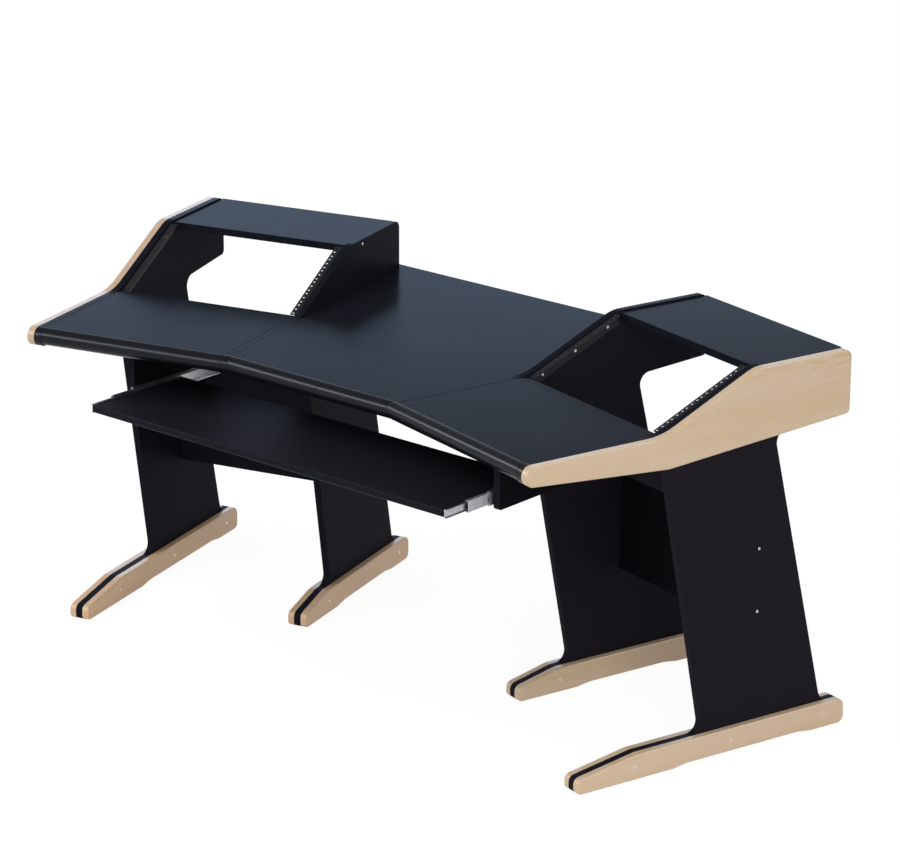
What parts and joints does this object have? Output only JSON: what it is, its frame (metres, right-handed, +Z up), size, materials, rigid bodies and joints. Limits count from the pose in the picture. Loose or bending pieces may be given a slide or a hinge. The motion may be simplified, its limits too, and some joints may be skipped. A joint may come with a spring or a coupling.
{
  "type": "studio desk",
  "caption": "Studio desk with two turned wings, sloping rack bays, raised rear shelves, maple cheeks and feet, and a sliding keyboard tray.",
  "frame": {"origin": "on the floor, below the middle of the desk's outline", "axes": "+X to the user's right, +Y to the rear, +Z up"},
  "size_m": [2.0302, 1.0354, 0.9146],
  "materials": {
    "black_laminate": "satin black laminated board",
    "maple": "clear satin lacquered maple",
    "zinc_steel": "bright zinc plated",
    "black_steel": "black powder coated steel"
  },
  "bodies": {
    "desk": {"centre_nosing": "black_laminate", "centre_stretcher": "black_laminate", "centre_worktop": "black_laminate", "left_cheek": "maple", "left_front_rail": "black_laminate", "left_inner_foot_inner_plate": "maple", "left_inner_foot_outer_plate": "maple", "left_inner_rack_rail": "black_steel", "left_inner_side_board": "black_laminate", "left_nosing": "black_laminate", "left_outer_foot_inner_plate": "maple", "left_outer_foot_outer_plate": "maple", "left_outer_rack_rail": "black_steel", "left_outer_side_board": "black_laminate", "left_rear_panel": "black_laminate", "left_shelf": "black_laminate", "left_slide_outer": "zinc_steel", "left_tray_bracket": "black_laminate", "left_worktop": "black_laminate", "right_cheek": "maple", "right_front_rail": "black_laminate", "right_inner_foot_inner_plate": "maple", "right_inner_foot_outer_plate": "maple", "right_inner_rack_rail": "black_steel", "right_inner_side_board": "black_laminate", "right_nosing": "black_laminate", "right_outer_foot_inner_plate": "maple", "right_outer_foot_outer_plate": "maple", "right_outer_rack_rail": "black_steel", "right_outer_side_board": "black_laminate", "right_rear_panel": "black_laminate", "right_shelf": "black_laminate", "right_slide_outer": "zinc_steel", "right_tray_bracket": "black_laminate", "right_worktop": "black_laminate"},
    "tray": {"keyboard_tray": "black_laminate", "left_slide_inner": "zinc_steel", "right_slide_inner": "zinc_steel"},
    "left_slide_middle": {"left_slide_middle": "zinc_steel"},
    "left_slide_outer_cage": {"left_slide_outer_cage": "zinc_steel"},
    "left_slide_inner_cage": {"left_slide_inner_cage": "zinc_steel"},
    "right_slide_middle": {"right_slide_middle": "zinc_steel"},
    "right_slide_outer_cage": {"right_slide_outer_cage": "zinc_steel"},
    "right_slide_inner_cage": {"right_slide_inner_cage": "zinc_steel"}
  },
  "joints": [
    {"name": "tray_slide", "type": "slide", "parent": "desk", "child": "tray", "axis": [0, -1, 0], "range_m": [-0.139, 0.161]},
    {"name": "left_slide_middle_travel", "type": "slide", "parent": "desk", "child": "left_slide_middle", "axis": [0, -1, 0], "range_m": [-0.0695, 0.0805]},
    {"name": "left_slide_outer_cage_travel", "type": "slide", "parent": "desk", "child": "left_slide_outer_cage", "axis": [0, -1, 0], "range_m": [-0.03475, 0.04025]},
    {"name": "left_slide_inner_cage_travel", "type": "slide", "parent": "desk", "child": "left_slide_inner_cage", "axis": [0, -1, 0], "range_m": [-0.10425, 0.12075]},
    {"name": "right_slide_middle_travel", "type": "slide", "parent": "desk", "child": "right_slide_middle", "axis": [0, -1, 0], "range_m": [-0.0695, 0.0805]},
    {"name": "right_slide_outer_cage_travel", "type": "slide", "parent": "desk", "child": "right_slide_outer_cage", "axis": [0, -1, 0], "range_m": [-0.03475, 0.04025]},
    {"name": "right_slide_inner_cage_travel", "type": "slide", "parent": "desk", "child": "right_slide_inner_cage", "axis": [0, -1, 0], "range_m": [-0.10425, 0.12075]}
  ],
  "couplings": [
    {"joint": "left_slide_middle_travel", "follows": "tray_slide", "ratio": 0.5},
    {"joint": "left_slide_outer_cage_travel", "follows": "tray_slide", "ratio": 0.25},
    {"joint": "left_slide_inner_cage_travel", "follows": "tray_slide", "ratio": 0.75},
    {"joint": "right_slide_middle_travel", "follows": "tray_slide", "ratio": 0.5},
    {"joint": "right_slide_outer_cage_travel", "follows": "tray_slide", "ratio": 0.25},
    {"joint": "right_slide_inner_cage_travel", "follows": "tray_slide", "ratio": 0.75}
  ]
}
